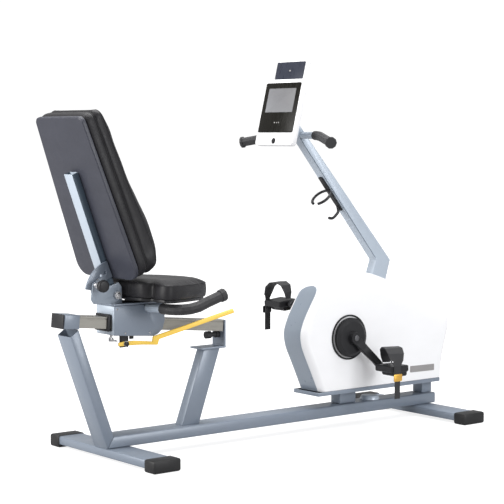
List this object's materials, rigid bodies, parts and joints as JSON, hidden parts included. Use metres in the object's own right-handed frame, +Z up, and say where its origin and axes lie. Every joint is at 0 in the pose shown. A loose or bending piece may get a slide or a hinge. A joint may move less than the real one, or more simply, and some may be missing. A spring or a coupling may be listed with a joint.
{
  "type": "recumbent exercise bike",
  "caption": "Recumbent exercise bike with a sliding reclining seat on a rail, enclosed pedal drive, handlebar mast with console and a low beam base.",
  "frame": {"origin": "centre of the footprint on the floor: x and y are the middle of the overall box, z = 0 is the underside of the foot caps", "axes": "+X from the seat towards the pedals and the drive housing, +Y to the rider's left, +Z up"},
  "size_m": [1.6572, 0.6, 1.2725],
  "materials": {
    "frame_paint": "satin blue-grey powder coat",
    "mast_paint": "satin pale blue-grey powder coat",
    "white_plastic": "semi-gloss white moulding",
    "black_plastic": "satin black moulding",
    "black_rubber": "matt black foam or rubber",
    "upholstery": "charcoal leatherette with fine grain",
    "board_plastic": "dark grey-violet backing board",
    "rail_aluminium": "satin anodised extrusion",
    "bright_steel": "zinc-plated steel",
    "cast_iron": "dark machined iron",
    "yellow_plastic": "satin yellow paint",
    "console_glass": "polished black acrylic"
  },
  "bodies": {
    "frame": {"rear_stabiliser": "frame_paint", "front_stabiliser": "frame_paint", "foot_cap_rear_right": "black_plastic", "foot_cap_rear_left": "black_plastic", "foot_cap_front_right": "black_plastic", "foot_cap_front_left": "black_plastic", "main_beam": "frame_paint", "rear_post": "frame_paint", "front_post": "frame_paint", "rail_front_bracket": "frame_paint", "rail_stop": "black_rubber", "seat_rail": "rail_aluminium", "rail_rear_collar": "frame_paint", "rail_end_cap": "black_plastic", "housing_right": "white_plastic", "housing_left": "white_plastic", "housing_rear_trim": "frame_paint", "housing_tray": "frame_paint", "beam_cover": "mast_paint", "drive_frame_plate": "cast_iron", "crank_bearing": "bright_steel", "brake_unit": "black_plastic", "crank_ring_right": "black_plastic", "crank_ring_left": "black_plastic", "mast": "mast_paint", "handlebar": "mast_paint", "hand_grip_right": "black_rubber", "hand_grip_left": "black_rubber", "console_body": "white_plastic", "console_glass": "console_glass", "console_top_panel": "console_glass", "bottle_cage": "black_plastic", "drive_belt": "black_rubber"},
    "carriage": {"carriage_box": "frame_paint", "carriage_guide_rear": "black_plastic", "seat_bracket": "frame_paint", "hinge_cheek_right": "mast_paint", "hinge_cheek_left": "mast_paint", "pivot_bolt": "bright_steel", "seat_pan": "black_plastic", "seat_cushion": "upholstery", "seat_handle": "mast_paint", "seat_grip_right": "black_rubber", "seat_grip_left": "black_rubber"},
    "backrest": {"back_post": "mast_paint", "sector_plate": "frame_paint", "back_board": "board_plastic", "back_cushion": "upholstery"},
    "index_pin": {"index_knob": "black_plastic"},
    "lever": {"seat_lock_lever": "yellow_plastic"},
    "lock_pin": {"seat_lock_pin": "bright_steel"},
    "crank_set": {"crank_axle": "cast_iron", "crank_right": "black_plastic", "crank_left": "black_plastic"},
    "pedal_r": {"pedal_right": "black_plastic", "pedal_strap_right": "black_rubber"},
    "pedal_l": {"pedal_left": "black_plastic", "pedal_strap_left": "black_rubber"},
    "flywheel_set": {"flywheel": "cast_iron"},
    "console_key": {"console_button": "black_plastic"}
  },
  "joints": [
    {"name": "seat_slide", "type": "slide", "parent": "frame", "child": "carriage", "axis": [0.9959, 0, -0.0906], "range_m": [-0.068, 0.198]},
    {"name": "backrest_recline", "type": "hinge", "parent": "carriage", "child": "backrest", "pos_m": [-0.63136, 0, 0.522], "axis": [0, -1, 0], "range_deg": [0, 37.5]},
    {"name": "index_pin_pull", "type": "slide", "parent": "carriage", "child": "index_pin", "axis": [0, -1, 0], "range_m": [-0.01, 0]},
    {"name": "lock_lever_lift", "type": "hinge", "parent": "carriage", "child": "lever", "pos_m": [-0.60136, -0.04, 0.3665], "axis": [0, -1, 0], "range_deg": [0, 9], "stiffness_Nm_per_rad": 6, "springref_deg": -14.32},
    {"name": "lock_pin_drop", "type": "slide", "parent": "carriage", "child": "lock_pin", "axis": [-0.0906, 0, -0.9959], "range_m": [0, 0.00376], "stiffness_N_per_m": 400, "springref_m": -0.004},
    {"name": "crank_turn", "type": "hinge", "parent": "frame", "child": "crank_set", "pos_m": [0.31864, 0, 0.318], "axis": [0, 1, 0], "continuous": true},
    {"name": "pedal_right_turn", "type": "hinge", "parent": "crank_set", "child": "pedal_r", "pos_m": [0.42378, -0.18, 0.21101], "axis": [0, 1, 0], "continuous": true},
    {"name": "pedal_left_turn", "type": "hinge", "parent": "crank_set", "child": "pedal_l", "pos_m": [0.2135, 0.18, 0.42499], "axis": [0, 1, 0], "continuous": true},
    {"name": "flywheel_turn", "type": "hinge", "parent": "frame", "child": "flywheel_set", "pos_m": [0.61364, 0, 0.262], "axis": [0, 1, 0], "continuous": true},
    {"name": "console_button_press", "type": "slide", "parent": "frame", "child": "console_key", "axis": [0.9707, 0, -0.2402], "range_m": [0, 0.002], "stiffness_N_per_m": 400, "springref_m": -0.001}
  ],
  "couplings": [
    {"joint": "flywheel_turn", "follows": "crank_turn", "ratio": 6.1111},
    {"joint": "lock_pin_drop", "follows": "lock_lever_lift", "m_per_rad": 0.02394}
  ]
}
